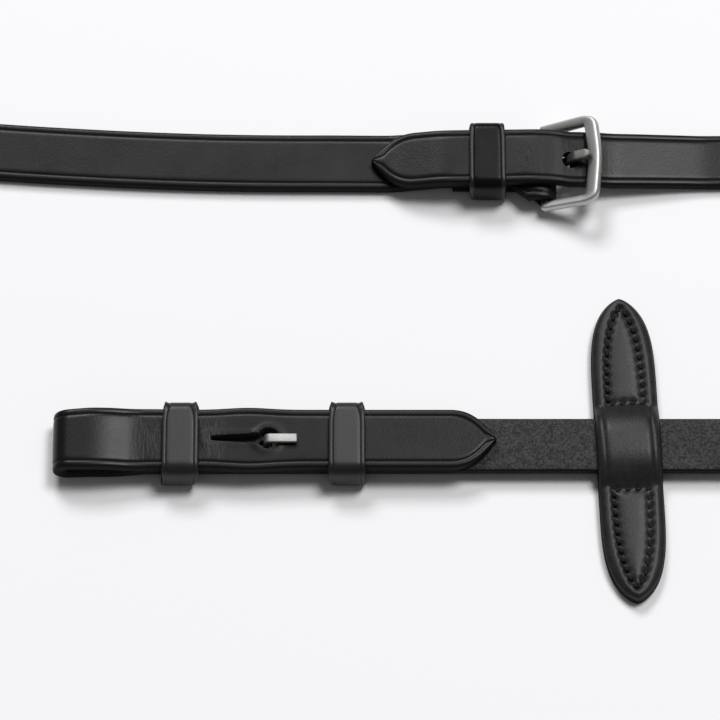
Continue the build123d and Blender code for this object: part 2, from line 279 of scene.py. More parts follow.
# scales are per metre; mottle is the patchy colour, sheen the specular level
grainLook = {
    "strap": {"dark": (0.005, 0.0049, 0.0051), "light": (0.0105, 0.0102, 0.0105), "sheen": 0.17, "rough": 0.27,
              "pore": 1500, "poreDepth": 0.00006, "mottle": 70, "foldRelief": 9.0, "worn": 0.13},
    "runner": {"dark": (0.01, 0.0098, 0.01), "light": (0.019, 0.0185, 0.019), "sheen": 0.3, "rough": 0.36,
               "pore": 1500, "poreDepth": 0.00006, "mottle": 70},
    "keeper": {"dark": (0.0025, 0.0025, 0.0025), "light": (0.006, 0.006, 0.006), "sheen": 0.11, "rough": 0.27,
               "pore": 1500, "poreDepth": 0.00006, "mottle": 70},
    "stop": {"dark": (0.006, 0.0059, 0.006), "light": (0.029, 0.0282, 0.029), "sheen": 0.23, "rough": 0.37,
             "pore": 1300, "poreDepth": 0.00013, "mottle": 330}}
allGrain = {"mottle": (4, 0.6), "crease": (520, 5, 0.62), "smoothest": -0.06, "mottleRough": 0.12,
            "creaseRough": 0.05, "poreRelief": 0.55, "creaseRelief": 0.6, "strength": 0.35,
            "fold": (1100, 4, 0.6), "foldDrawn": (1.0, 0.22, 0.5)}


def fineFolds(finish):
    # folds across a strap, as where it has been bent often
    drawn = {0: finish.place(), 1: allGrain["foldDrawn"]}
    return finish.noise(*allGrain["fold"], finish.add("ShaderNodeVectorMath", {"operation": "MULTIPLY"}, drawn))


def grainLeather(name, look, folded=(), worn=()):
    share = allGrain
    finish = Finish(name, IOR=1.5, Specular_IOR_Level=look["sheen"])
    patches = finish.noise(look["mottle"], *share["mottle"])
    pores = finish.add("ShaderNodeTexVoronoi", {"feature": "F1"},
                       {"Vector": finish.place(), "Scale": look["pore"], "Randomness": 1})
    creases = finish.noise(*share["crease"])
    finish.colour(patches, look["dark"], look["light"])
    rough = look["rough"] + share["smoothest"] + share["mottleRough"] * patches + share["creaseRough"] * creases
    height = pores * share["poreRelief"] + creases * share["creaseRelief"]
    if folded:
        height = height + finish.zoneMask(folded) * fineFolds(finish) * look["foldRelief"]
        rough = rough + finish.zoneMask(worn) * look["worn"]
    finish.feed("Roughness", rough)
    finish.relief(share["strength"], look["poreDepth"], height)
    return finish.material


fleshLook = {"dark": (0.005, 0.005, 0.005), "light": (0.052, 0.051, 0.051),
             "fibre": (1700, 5, 0.7), "clump": (420, 4, 0.65), "clumpShare": 0.2, "speck": ((0.43, 0.0), (0.61, 1.0)),
             "rough": 0.86, "fibreShine": 0.16, "clumpRelief": 0.6, "strength": 0.7, "depth": 0.00012}


def fleshLeather(name):
    look = fleshLook
    finish = Finish(name, IOR=1.45)
    fibres = finish.noise(*look["fibre"])
    clumps = finish.noise(*look["clump"])
    mixed = fibres * (1 - look["clumpShare"]) + clumps * look["clumpShare"]
    speck = finish.add("ShaderNodeValToRGB", {"stops": look["speck"]}, {0: mixed})
    finish.colour(speck, look["dark"], look["light"])
    finish.feed("Roughness", look["rough"] - look["fibreShine"] * fibres)
    finish.relief(look["strength"], look["depth"], fibres + clumps * look["clumpRelief"])
    return finish.material


streakLook = {
    "edge": {"dark": (0.0025, 0.0025, 0.0025), "light": (0.008, 0.0078, 0.0076), "sheen": 0.12, "ior": 1.45,
             "noise": (700, 4, 0.6), "rough": 0.5, "streakRough": 0.2, "strength": 0.4, "depth": 0.00008},
    "thread": {"dark": (0.0022, 0.0022, 0.0022), "light": (0.007, 0.007, 0.007), "sheen": 0.15, "ior": 1.5,
               "noise": (2600, 2, 0.5), "rough": 0.5, "streakRough": 0.18, "strength": 0.5, "depth": 0.0001}}


def streaked(name, look):
    # burnished edges and waxed thread: dark, with fine streaks
    finish = Finish(name, IOR=look["ior"], Specular_IOR_Level=look["sheen"])
    streaks = finish.noise(*look["noise"])
    finish.colour(streaks, look["dark"], look["light"])
    finish.feed("Roughness", look["rough"] + look["streakRough"] * streaks)
    finish.relief(look["strength"], look["depth"], streaks)
    return finish.material


# the near-black steel is painted shade: it stands for the shadow on the buckle's bar and on the prong's loop and root
steelLook = {
    "satin": {"dull": (0.47, 0.467, 0.455), "clear": (0.6, 0.595, 0.58), "rough": 0.5, "grit": 0.12},
    "tongue": {"dull": (0.17, 0.17, 0.163), "clear": (0.27, 0.268, 0.258), "rough": 0.5, "grit": 0.3},
    "paintedShade": {"dull": (0.015, 0.015, 0.015), "clear": (0.04, 0.04, 0.039), "rough": 0.6, "grit": 0.5},
    "cast": {"dull": (0.22, 0.217, 0.21), "clear": (0.42, 0.415, 0.40), "rough": 0.56, "grit": 0.9}}
allSteel = {"marks": (1400, 5, 0.65), "cloud": (160, 3, 0.5), "smoothest": -0.05, "markRough": 0.14, "depth": 0.00005}


def satinSteel(name, look):
    finish = Finish(name, Metallic=1.0)
    marks = finish.noise(*allSteel["marks"])
    cloud = finish.noise(*allSteel["cloud"])
    finish.colour(cloud, look["dull"], look["clear"])
    finish.feed("Roughness", look["rough"] + allSteel["smoothest"] + allSteel["markRough"] * marks)
    finish.relief(look["grit"], allSteel["depth"], marks)
    return finish.material


# the runner leather also paints a highlight on the keeper's raised beads
runnerLeather = grainLeather("runnerLeather", grainLook["runner"])
keeperLeather = grainLeather("keeperLeather", grainLook["keeper"])
stopLeather = grainLeather("stopLeather", grainLook["stop"])
flesh = fleshLeather("fleshLeather")
edging = streaked("edgeLeather", streakLook["edge"])
thread = streaked("waxedThread", streakLook["thread"])
steel = satinSteel("satinSteel", steelLook["satin"])
tongueSteel = satinSteel("tongueSteel", steelLook["tongue"])
# painted shade: a near-black steel for the buckle's bar and the prong's loop and root, which lie in shadow
shadedSteel = satinSteel("paintedShadeSteel", steelLook["paintedShade"])
hookSteel = satinSteel("castSteel", steelLook["cast"])


def readEnd(side, heading):
    # one rein's bit end: the outside of its loop, its middle line, and the way it runs
    low, high = boxOf(f"{side}_rein")
    return {"side": side, "heading": heading, "loopX": low[0] if heading > 0 else high[0],
            "line": middleOf(f"{side}_bit_runner")[1]}


def toWorld(end, points):
    # (distance from the outside of the loop, across, height) to the frame's own axes
    points = np.asarray(points, float)
    turned = points.copy()
    turned[..., 0] = end["loopX"] + end["heading"] * points[..., 0]
    turned[..., 1] = end["line"] + end["heading"] * points[..., 1]
    return turned


near, far = ends = [readEnd("near", 1), readEnd("far", -1)]
barInset = 2.9  # from the low corner of the tongue's box to the middle of the bar that it turns on
buckleX, barLevel = boxOf("buckle_tongue")[0][[0, 2]] + barInset
buckleMiddle = middleOf("buckle_frame")[1]
buckleLine = middleOf("buckle_keeper")[1]

# (distance from the frame's middle or the loop, reach along, reach across)
wear = {"buckleFolds": [(2, 12, 11), (-12, 6, 11)], "loopFolds": [(26, 6, 11), (42, 5, 11)], "buckleWorn": (-6, 16, 20)}


def wearZone(x, line, reachX, reachY):
    return x * mm, line * mm, reachX * mm, reachY * mm


frameX = middleOf("buckle_frame")[0]
foldedPlaces = [wearZone(frameX + away, buckleLine, *reach) for away, *reach in wear["buckleFolds"]]
for end in ends:
    foldedPlaces += [wearZone(end["loopX"] + end["heading"] * away, end["line"], *reach)
                     for away, *reach in wear["loopFolds"]]
wornAway, *wornReach = wear["buckleWorn"]
wornPlaces = [wearZone(frameX + wornAway, buckleLine, *wornReach)]
leather = grainLeather("strapLeather", grainLook["strap"], foldedPlaces, wornPlaces)
print("finishes made")


# fine, coarse and turn set the steps along a strap; the edges of its section are (inset, height)
strapLook = {"fine": 0.5, "coarse": 5.0, "turn": math.radians(6), "centreColumns": 22, "fleshColumns": 8,
             "grainEdge": [(0, 0.45), (0.05, 0.9), (0.18, 1.2), (0.42, 1.37), (0.85, 1.45), (1.45, 1.45),
                           (1.72, 1.39), (1.9, 1.28), (2.08, 1.38), (2.4, 1.47), (2.9, 1.5)],
             "fleshEdge": [(0, -0.8), (0.1, -1.18), (0.35, -1.4), (0.8, -1.5)],
             "slopeStep": 0.4, "tipWidth": 1.5, "tipHeight": 0.75,
             "fineSpans": {"near": [(0, 122), (1360, 1600)], "far": [(0, 122), (1430, 1600)]}}
layer = {"lying": 1.5, "stacked": 4.55, "lifted": 3.42, "billet": 6.47}  # heights of the strap's middle
point = {"length": 13.0, "power": 2.37, "tip": 0.12}  # the pointed ends


def layRoute(waypoints, spacing=0.5, ease=0.8):
    # an even line through (x, y, height, bend) with its corners rounded and its changes of bend eased
    corners = [np.array(waypoint[:3], float) for waypoint in waypoints]
    line = [corners[0]]
    for before, here, after, waypoint in zip(corners, corners[1:], corners[2:], waypoints[1:]):
        bend = waypoint[3]
        back, on = unit(before - here), unit(after - here)
        half = math.acos(np.clip(back @ on, -1, 1)) / 2
        centre = here + unit(back + on) * bend / math.sin(half)
        start = here + back * bend / math.tan(half) - centre
        end = here + on * bend / math.tan(half) - centre
        axis = unit(np.cross(start, end))
        turn = math.pi - 2 * half
        for angle in np.linspace(0, turn, max(3, int(turn * bend / spacing) + 2)):
            line.append(centre + start * math.cos(angle) + np.cross(axis, start) * math.sin(angle))
    line.append(corners[-1])
    line = np.array(line)
    run = distanceAlong(line)
    places = np.linspace(0, run[-1], int(run[-1] / spacing) + 1)
    even = pointsAt(places, run, line)
    reach = int(3 * ease / spacing) + 1
    kernel = hump(np.arange(-reach, reach + 1) * spacing, 0, ease * math.sqrt(2))
    longer = np.pad(even, ((reach, reach), (0, 0)), mode="reflect", reflect_type="odd")
    soft = [np.convolve(longer[:, axis], kernel / kernel.sum(), "valid") for axis in range(3)]
    return places, np.stack(soft, 1)


def frameRoute(line):
    # direction, side and grain direction along a strap whose width stays level
    along = directionAlong(line)
    side = np.zeros_like(line)
    last = unit(np.cross((0, 0, 1), along[0]))
    for step, direction in enumerate(along):
        last = np.array((last[0], last[1], 0))
        last = unit(last - direction * (last @ direction))
        side[step] = last
    return along, side, np.cross(along, side)


def pickStations(places, along, fineSpans):
    chosen, turned = [0], 0.0
    for step in range(1, len(places)):
        turned += math.acos(np.clip(along[step] @ along[step - 1], -1, 1))
        fine = any(low <= places[step] <= high for low, high in fineSpans)
        limit = strapLook["fine"] if fine else strapLook["coarse"]
        if places[step] - places[chosen[-1]] >= limit - 1e-6 or turned > strapLook["turn"]:
            chosen.append(step)
            turned = 0.0
    if chosen[-1] != len(places) - 1:
        chosen.append(len(places) - 1)
    return chosen


def pointedWidth(distance, fullWidth):
    part = np.clip(distance / point["length"], 0, 1)
    return np.maximum(fullWidth * (1 - (1 - part) ** point["power"]), point["tip"])


def strapRing(halfWidth, slope, thickness, lift):
    # the section of the strap: creased grain side over, plain flesh side under
    grainScale, fleshScale = thickness
    grain, under = strapLook["grainEdge"], strapLook["fleshEdge"]
    deepest = grain[-1][0]
    squeeze = min(math.sqrt(1 + slope * slope), halfWidth / deepest)
    left = [(-halfWidth + inset * squeeze, height) for inset, height in grain]
    reach = halfWidth - deepest * squeeze
    centre = [(across, grain[-1][1])
              for across in np.linspace(-reach, reach, strapLook["centreColumns"] + 1)[1:-1]]
    right = [(-across, height) for across, height in reversed(left)]
    squeezeUnder = min(squeeze, halfWidth / under[-1][0])
    lowRight = [(halfWidth - inset * squeezeUnder, height * fleshScale) for inset, height in under]
    reach = halfWidth - under[-1][0] * squeezeUnder
    lowCentre = [(across, under[-1][1] * fleshScale)
                 for across in np.linspace(reach, -reach, strapLook["fleshColumns"] + 1)[1:-1]]
    lowLeft = [(-across, height) for across, height in reversed(lowRight)]
    atTip = strapLook["tipHeight"]
    tipScale = atTip + (1 - atTip) * min(1, halfWidth / strapLook["tipWidth"])
    top = [(across, height * grainScale * tipScale + lift(across)) for across, height in left + centre + right]
    return np.array(top + lowRight + lowCentre + lowLeft)


def strapFinishes():
    # one finish for each column of strapRing: 0 grain, 1 edge, 2 flesh
    top = [0] * (2 * len(strapLook["grainEdge"]) + strapLook["centreColumns"] - 1)
    low = [2] * (2 * len(strapLook["fleshEdge"]) + strapLook["fleshColumns"] - 1)
    for columns in (top, low):
        columns[:2] = [1, 1]
        columns[-3:] = [1, 1, 1]
    return top + low


def makeStrap(name, waypoints, shape, fineSpans):
    places, line = layRoute(waypoints)
    along, side, grain = frameRoute(line)
    total = places[-1]
    reach = strapLook["slopeStep"]
    rings = []
    for step in pickStations(places, along, fineSpans):
        place = places[step]
        width, shift, thickness, lift = shape(place, total)
        ahead, behind = shape(min(place + reach, total), total)[0], shape(max(place - reach, 0), total)[0]
        ring = strapRing(width, (ahead - behind) / (2 * reach), thickness, lift)
        rings.append(line[step] + side[step] * (ring[:, :1] + shift) + grain[step] * ring[:, 1:])
    strap = loftRings(name, rings, [leather, edging, flesh], strapFinishes(), sharpAngle=50)
    print(name, "length", round(total, 1))
    return strap


# distances are from the outside of the loop; widths are (distance from the billet's tip, half width)
bitEnd = {"length": 121.3, "throat": 21.4, "throatDip": 0.1, "eyeUpper": 12.4, "crest": 8.4, "endOut": 0.7,
          "eyeHigh": 7.9, "eyeLow": 1.6, "eyeSlack": 0.15, "eyeLower": 16.5, "stud": 58.6,
          "billetLead": 12, "liftLead": 3.5, "liftEnd": 233.8, "fallLength": 20,
          "bends": {"billet": 30, "throat": 31, "crest": 38, "under": 25, "rise": 20, "fall": 60},
          "billetShift": 0.55, "shiftEase": (95, 125), "swellAt": 53.2, "swell": 0.62, "swellReach": 8.0,
          "widths": [(0, 8.75), (85, 8.75), (92, 8.95), (98, 9.0), (112, 8.95), (132, 8.05), (180, 8.0), (255, 7.85)]}


def bitEndRoute(end):
    bit, bends = bitEnd, bitEnd["bends"]
    turn = (bit["eyeHigh"] - bit["eyeLow"]) / 2 - bit["eyeSlack"]
    tipX = layer["lying"] - bit["endOut"]
    local = [(bit["length"], layer["billet"], 0),
             (bit["throat"] + bit["billetLead"], layer["billet"], bends["billet"]),
             (bit["throat"], layer["billet"] - bit["throatDip"], bends["throat"]),
             (bit["eyeUpper"], bit["crest"], bends["crest"]), (tipX, bit["eyeHigh"], turn),
             (tipX, bit["eyeLow"], turn), (bit["eyeLower"], bit["eyeLow"], bends["under"]),
             (bit["throat"] + bit["liftLead"], layer["lifted"], bends["rise"]),
             (bit["liftEnd"], layer["lifted"], bends["fall"]),
             (bit["liftEnd"] + bit["fallLength"], layer["lying"], bends["fall"])]
    return [(end["loopX"] + end["heading"] * away, end["line"], height, bend) for away, height, bend in local]


# the put-away length lies in folds; between two folds it sways across to the next line
fold = {"radius": 6.5, "bend": 6.3, "flat": 16.0, "down": 38.0, "ease": 25.0, "swayFrom": 66.0, "swayTo": 186.0,
        "swayBend": 180, "stepBend": 60}


def foldOver(place, back):
    high = layer["lying"] + 2 * fold["radius"]
    steps = [(0, layer["lying"], fold["bend"]), (0, high, fold["bend"]),
             (fold["flat"], high, fold["ease"]), (fold["down"], layer["stacked"], fold["ease"])]
    return [(*(place + back * away), height, bend) for away, height, bend in steps]


def swayAcross(foldX, heading, fromLine, toLine, clear):
    start = np.array((foldX + heading * fold["swayFrom"], fromLine))
    span = np.array((foldX + heading * fold["swayTo"], toLine)) - start
    steps = [(0, layer["stacked"], fold["swayBend"]), (clear[0], layer["stacked"], fold["stepBend"]),
             (clear[1], layer["lying"], fold["stepBend"]), (1, layer["lying"], fold["swayBend"])]
    return [(*(start + span * part), height, bend) for part, height, bend in steps]


# rims and dish are (height, distance, reach); cuts are (height over the layer, growth outwards)
keyhole = {"slotFrom": 42.9, "slotRadius": 0.62, "slotWide": 1.45, "hole": 3.05, "slotHalf": 8.2,
           "holeRim": (0.14, 3.7, 1.1), "slotRim": (0.08, 1.8, 0.9), "dish": (0.16, 0, 9.0),
           "reliefPlace": 6, "reliefReach": 24, "cuts": [(-2.2, 0), (1.1, 0), (1.75, 0.3), (3, 0.3)],
           "neckSlot": (57.3, 58.4), "neckRadius": 1.42, "neckCuts": [(-2.2, 0), (2, 0)]}


def raised(where, height, distance, reach):
    return height * hump(where, distance, reach)


def keyholeLift(place, across, centre):
    # the leather round the keyhole, drawn up by the hook
    half = keyhole["slotHalf"]
    toHole = np.hypot(place - centre, across)
    toSlot = np.hypot(np.maximum(np.abs(place - centre - half) - half, 0), across)
    return raised(toHole, *keyhole["holeRim"]) + raised(toSlot, *keyhole["slotRim"]) - raised(toHole, *keyhole["dish"])


def billetShape(place):
    # width, sideways shift and relief of a bit end; place is measured from the billet's tip
    swellPlace = bitEnd["length"] - bitEnd["swellAt"]
    holePlace = bitEnd["length"] - bitEnd["stud"]
    widest = float(np.interp(place, *zip(*bitEnd["widths"])))
    widest += bitEnd["swell"] * float(hump(place, swellPlace, bitEnd["swellReach"]))
    width = float(pointedWidth(place, widest))
    shift = -bitEnd["billetShift"] * (1 - float(smoothStep(*bitEnd["shiftEase"], place)))
    raisedHere = abs(place - holePlace - keyhole["reliefPlace"]) < keyhole["reliefReach"]

    def lift(across):
        return float(keyholeLift(place, across, holePlace)) if raisedHere else 0.0

    return width, shift, lift


# over and under are routes past the bar, (distance from it, height, bend); holeCuts are (height, growth, slide);
# widths and shifts are (distance from the tip, amount)
buckleEnd = {"hole": (4.75, 9.8), "holeWidth": 4.9, "holeShift": -0.4,
             "holeCuts": [(4.0, -0.2, -4.2), (8.3, 0, -0.4), (9.2, 0.25, 0), (13, 0.5, 0)], "seen": 500,
             "over": [(44, 1.5, 60), (18, 4.1, 40), (3, 8.1, 12), (-3, 8.1, 18), (-9, 7.5, 18),
                      (-29, 7.5, 30), (-43, 4.6, 30), (-49, 4.6, 0)],
             "under": [(-43, 1.5, 30), (-29, 4.2, 30), (-8, 4.2, 18)],
             "widths": [(0, 8.3), (60, 8.3), (90, 8.0), (160, 8.0), (400, 7.85)],
             "shifts": [(0, -0.2), (22, -0.3), (40, -0.05), (48, -0.3), (56, -0.6), (64, 0.3), (75, 0.75),
                        (90, 1.2), (105, 1.35), (160, 1.0), (220, 0)]}
nearRun = {"betweenFolds": 249, "stepEarly": (0.4, 0.58), "stepLate": (0.57, 0.75)}


def nearRoute():
    outX = boxOf("near_rein")[1][0] - layer["lying"]
    inX = outX - nearRun["betweenFolds"]
    early, late = nearRun["stepEarly"], nearRun["stepLate"]
    lines = np.linspace(near["line"], buckleLine, 4)
    right = np.array((1.0, 0.0))
    route = bitEndRoute(near)
    route += foldOver(np.array((outX, lines[0])), -right) + swayAcross(outX, -1, lines[0], lines[1], late)
    route += foldOver(np.array((inX, lines[1])), right) + swayAcross(inX, 1, lines[1], lines[2], early)
    route += foldOver(np.array((outX, lines[2])), -right) + swayAcross(outX, -1, lines[2], lines[3], late)
    return route + [(buckleX + away, buckleLine, height, bend) for away, height, bend in buckleEnd["over"]]


# the far rein's run to the buckle, and its end, which turns round the bar and lies back under it, pared thin;
# toBar, fromBar and drop are (distance from the bar, bend), widths and shifts (distance from the end, amount)
farRun = {"outset": 2.15, "lean": math.radians(4.75), "bend": 1100, "leave": 92.0, "climb": (0.62, 0.75),
          "bendX": viewMiddle[0] - 55.6, "awayX": viewMiddle[0] - 200.0, "awayBend": 200, "leaveBend": 160,
          "barTurn": 2.35, "barSlack": 0.1, "toBar": (-2.6, 8), "fromBar": (-3, 20), "drop": (-11, 20),
          "chapeEnd": viewMiddle[0] + 26.0, "chapeHigh": 2.0, "pare": (30, 38), "pareGrain": 0.47, "pareFlesh": 0.52,
          "slot": (-5.1, 3.5), "slotRadius": 2.2, "slotCuts": [(-1, 0, 0), (7.4, 0, 0)],
          "widths": [(0, 8.0), (21, 8.0), (25, 10.6), (39, 10.6), (44, 8.0), (75, 8.55), (250, 8.55), (400, 8.0)],
          "shifts": [(0, 0), (21, 0), (25, -1.5), (39, -1.5), (44, 0.5), (75, 0.8), (95, 0.95), (130, 0.8),
                     (165, 0.8), (195, 0.65), (300, 0.65), (400, 0)]}


def farRoute():
    run = farRun
    outX = boxOf("far_rein")[0][0] + run["outset"]
    back = np.array((math.cos(run["lean"]), -math.sin(run["lean"])))
    foldPlace = np.array((outX, buckleLine + (run["bendX"] - outX) * math.tan(run["lean"])))
    away = np.array((run["awayX"], far["line"]))
    leave = foldPlace + back * run["leave"]
    span = leave - away
    climb = [away + span * part for part in run["climb"]]
    route = bitEndRoute(far) + [(*away, layer["lying"], run["awayBend"]),
                                (*climb[0], layer["lying"], fold["stepBend"]),
                                (*climb[1], layer["stacked"], fold["stepBend"]),
                                (*leave, layer["stacked"], run["leaveBend"])]
    route += foldOver(foldPlace, back)[::-1] + [(run["bendX"], buckleLine, layer["lying"], run["bend"])]
    route += [(buckleX + gap, buckleLine, height, bend) for gap, height, bend in buckleEnd["under"]]
    over, under = barLevel + run["barTurn"], barLevel - run["barTurn"]
    turn = run["barTurn"] - run["barSlack"]
    route += [(buckleX + run["toBar"][0], buckleLine, over, run["toBar"][1]),
              (buckleX + run["barTurn"], buckleLine, over, turn), (buckleX + run["barTurn"], buckleLine, under, turn),
              (buckleX + run["fromBar"][0], buckleLine, under, run["fromBar"][1])]
    return route + [(buckleX + run["drop"][0], buckleLine, run["chapeHigh"], run["drop"][1]),
                    (run["chapeEnd"], buckleLine, run["chapeHigh"], 0)]


def nearShape(place, total):
    width, shift, lift = billetShape(place)
    toTip = total - place
    if toTip < buckleEnd["seen"]:
        width = float(pointedWidth(toTip, np.interp(toTip, *zip(*buckleEnd["widths"]))))
        shift = -float(np.interp(toTip, *zip(*buckleEnd["shifts"])))
    return width, shift, (1.0, 1.0), lift


def farShape(place, total):
    width, shift, lift = billetShape(place)
    toEnd = total - place
    thickness = (1.0, 1.0)
    if toEnd < buckleEnd["seen"]:
        width = float(np.interp(toEnd, *zip(*farRun["widths"])))
        shift = float(np.interp(toEnd, *zip(*farRun["shifts"])))
        thin = float(1 - smoothStep(*farRun["pare"], toEnd))
        thickness = (1 - farRun["pareGrain"] * thin, 1 - farRun["pareFlesh"] * thin)
    return width, shift, thickness, lift


def prism(outline, levels, finish):
    # a cutter: the outline at several heights, each grown and slid by its own amount
    outline = np.asarray(outline, float)
    outward = outwardFrom(outline)
    rings = [np.column_stack([outline + outward * grow + np.array((slide, 0)), np.full(len(outline), height)])
             for height, grow, slide in levels]
    return loftRings("cutter", rings, [finish])


def slotOutline(start, end, radius):
    turn = np.linspace(-math.pi / 2, math.pi / 2, 14)
    right = np.stack([end + radius * np.cos(turn), radius * np.sin(turn)], 1)
    left = np.stack([start - radius * np.cos(turn), -radius * np.sin(turn)], 1)
    return np.concatenate([right, left])


def keyholeOutline():
    hole, narrow = keyhole["hole"], keyhole["slotRadius"]
    meet = math.pi - math.asin(keyhole["slotWide"] / hole)
    turn = np.linspace(-meet, meet, 40)
    circle = np.stack([bitEnd["stud"] + hole * np.cos(turn), hole * np.sin(turn)], 1)
    turn = np.linspace(math.pi / 2, 3 * math.pi / 2, 10)
    slotEnd = np.stack([keyhole["slotFrom"] + narrow * (1 + np.cos(turn)), narrow * np.sin(turn)], 1)
    return np.concatenate([circle, slotEnd])


def cutKeyhole(strap, end):
    # the keyhole through the billet, which lies aside a little, and the neck's slot through the layer below
    aside = bitEnd["billetShift"] * end["heading"]
    for outline, level, cuts, shift in (
            (keyholeOutline(), layer["billet"], keyhole["cuts"], aside),
            (slotOutline(*keyhole["neckSlot"], keyhole["neckRadius"]), layer["lifted"], keyhole["neckCuts"], 0)):
        cutter = prism(outline, [(level + height, grow, 0) for height, grow in cuts], flesh)
        corners = np.array([vertex.co for vertex in cutter.data.vertices]) / mm
        moved = toWorld(end, corners) + np.array((0, shift, 0))
        cutter.data.vertices.foreach_set("co", (moved * mm).ravel())
        cutAway(strap, cutter)


def cutAtBuckle(strap, outline, levels, line):
    cutter = prism(outline, levels, edging)
    cutter.data.transform(Matrix.Translation((0, line * mm, 0)))
    cutAway(strap, cutter)


nearStrap = makeStrap("nearStrap", nearRoute(), nearShape, strapLook["fineSpans"]["near"])
farStrap = makeStrap("farStrap", farRoute(), farShape, strapLook["fineSpans"]["far"])
cutKeyhole(nearStrap, near)
cutKeyhole(farStrap, far)

holeRadius = buckleEnd["holeWidth"] / 2
holeLeft, holeRight = [buckleX + away + inset for away, inset in zip(buckleEnd["hole"], (holeRadius, -holeRadius))]
cutAtBuckle(nearStrap, slotOutline(holeLeft, holeRight, holeRadius), buckleEnd["holeCuts"],
            buckleMiddle + buckleEnd["holeShift"])
slotLeft, slotRight = [buckleX + away for away in farRun["slot"]]
cutAtBuckle(farStrap, slotOutline(slotLeft, slotRight, farRun["slotRadius"]), farRun["slotCuts"], buckleMiddle)
for strap, node in ((nearStrap, "near_rein"), (farStrap, "far_rein")):
    shadeSmooth(strap.data, 50)
    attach(strap, "reins")
    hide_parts(node)
print("straps made, faces", len(nearStrap.data.polygons), len(farStrap.data.polygons))


# runners and the fixed keeper are bands of creased leather closed round the strap
# edge is the outside of the band's section, (inset, height); horn is how far its lips curl up at the far corner
band = {"wall": 1.5, "half": 0.75, "insideEdge": 0.4, "insideInset": 0.3, "columns": 8, "hornReach": 0.6,
        "edge": [(0, 0.3), (0.1, 0.5), (0.3, 0.66), (0.75, 0.72), (1.05, 0.68), (1.22, 0.56), (1.4, 0.69),
                 (1.8, 0.75)],
        "farCorner": 3.2, "nearFloor": 4.0, "floorPinch": 0.5, "swayHeights": (0.55, 0.05), "bulgePower": 0.7}
runner = {"width": 10.1, "halfWidth": 10.15, "low": 0.85, "high": 9.2, "corner": 2.3, "bulge": 0.3, "shift": 0.47,
          "pinch": 0.95, "lean": 0.9, "horn": 0.75, "sways": {"bit": -0.8, "point": 0.5}}
keeper = {"width": 10.2, "halfWidth": 9.6, "floorRise": 0.6, "topFall": 0.75, "corner": 2.0, "bulge": 0.4,
          "pinch": 0.35, "lean": 0.3, "horn": 0.0, "sway": 0.3}


def bandOutline(look, steps=12, count=120):
    # closed outline of the band's middle, from the middle of the floor round by the near side
    halfWidth, low, high, corner = look["halfWidth"], look["low"], look["high"], look["corner"]
    halfHeight = (high - low) / 2
    line = []
    for quarter, (sideways, upward) in enumerate(((-1, -1), (-1, 1), (1, 1), (1, -1))):
        centre = np.array((sideways * (halfWidth - corner), low + halfHeight + upward * (halfHeight - corner)))
        start = math.radians(270 - 90 * quarter)
        for turn in np.linspace(start, start - math.pi / 2, steps):
            line.append(centre + corner * np.array((math.cos(turn), math.sin(turn))))
    line = np.array(line + line[:1])
    run = distanceAlong(line)
    even = pointsAt(np.linspace(0, run[-1], count + 1)[:-1], run, line)
    height = (even[:, 1] - low) / (high - low)
    nearSide = smoothStep(0, -halfWidth, even[:, 0])
    bulge = look["bulge"] * np.sin(np.pi * np.clip(height, 0, 1)) ** band["bulgePower"]
    even[:, 0] -= nearSide * (bulge + look["lean"] * (1 - height))
    return even


def bandSection(reach, curl, look):
    # (along the strap, height) round the band's section: the creased outside, then the plain inside
    half, step, inner = band["half"], band["insideInset"], band["edge"][-1][0]
    left = [(-reach + inset, height + look["horn"] * curl * max(0, 1 - inset / band["hornReach"]))
            for inset, height in band["edge"]]
    flat = np.linspace(-reach + inner, reach - inner, band["columns"] + 1)[1:-1]
    over = left + [(x, half) for x in flat] + [(-x, height) for x, height in left[::-1]]
    under = [(reach, -band["insideEdge"]), (reach - step, -half), (0, -half), (-reach + step, -half),
             (-reach, -band["insideEdge"])]
    return over + under, len(over)


def bandFinishes(outside):
    # one finish for each column: 0 the outside, 1 its cut edges, 2 the flesh side, 3 the raised bead, which takes the
    # runner leather: on the darker keeper this is a painted highlight along its ridges
    finishes = [0] * outside + [2, 2, 2, 2, 1]
    finishes[0] = finishes[outside - 1] = 1
    for column in range(1, 5):
        finishes[column] = finishes[outside - 2 - column] = 3
    return finishes


def makeBand(name, where, finish, look, nodes, body):
    line = bandOutline(look)
    halfWidth, low, high = look["halfWidth"], look["low"], look["high"]
    farCorner = hump(np.hypot(line[:, 0] - halfWidth, line[:, 1] - high), 0, band["farCorner"])
    nearFloor = hump(np.hypot(line[:, 0] + halfWidth, line[:, 1] - low), 0, band["nearFloor"])
    half = look["width"] / 2 - look["pinch"] * farCorner - band["floorPinch"] * look["pinch"] * nearFloor
    swayed = look["sway"] * smoothStep(*band["swayHeights"], (line[:, 1] - low) / (high - low))
    swayed = swayed * smoothStep(0, -halfWidth, line[:, 0])
    rings = []
    for place, away, reach, curl, aside in zip(line, -outwardFrom(line), half, farCorner, swayed):
        section, outside = bandSection(reach, curl, look)
        rings.append([(x + aside, *(place + away * height * band["wall"] / (2 * band["half"])))
                      for x, height in section])
    # the beads take the runner leather; on the keeper this lighter leather is a painted highlight along the ridges
    piece = loftRings(name, toWorld(where, rings), [finish, edging, flesh, runnerLeather], bandFinishes(outside),
                      roundRows=True, sharpAngle=45)
    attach(piece, body)
    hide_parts(*nodes)


for end in ends:
    for kind, sway in runner["sways"].items():
        node = f"{end['side']}_{kind}_runner"
        where = dict(end, loopX=middleOf(node)[0], line=end["line"] + end["heading"] * runner["shift"])
        makeBand(node.replace("_", "") + "Band", where, runnerLeather, dict(runner, sway=sway), [node], node)

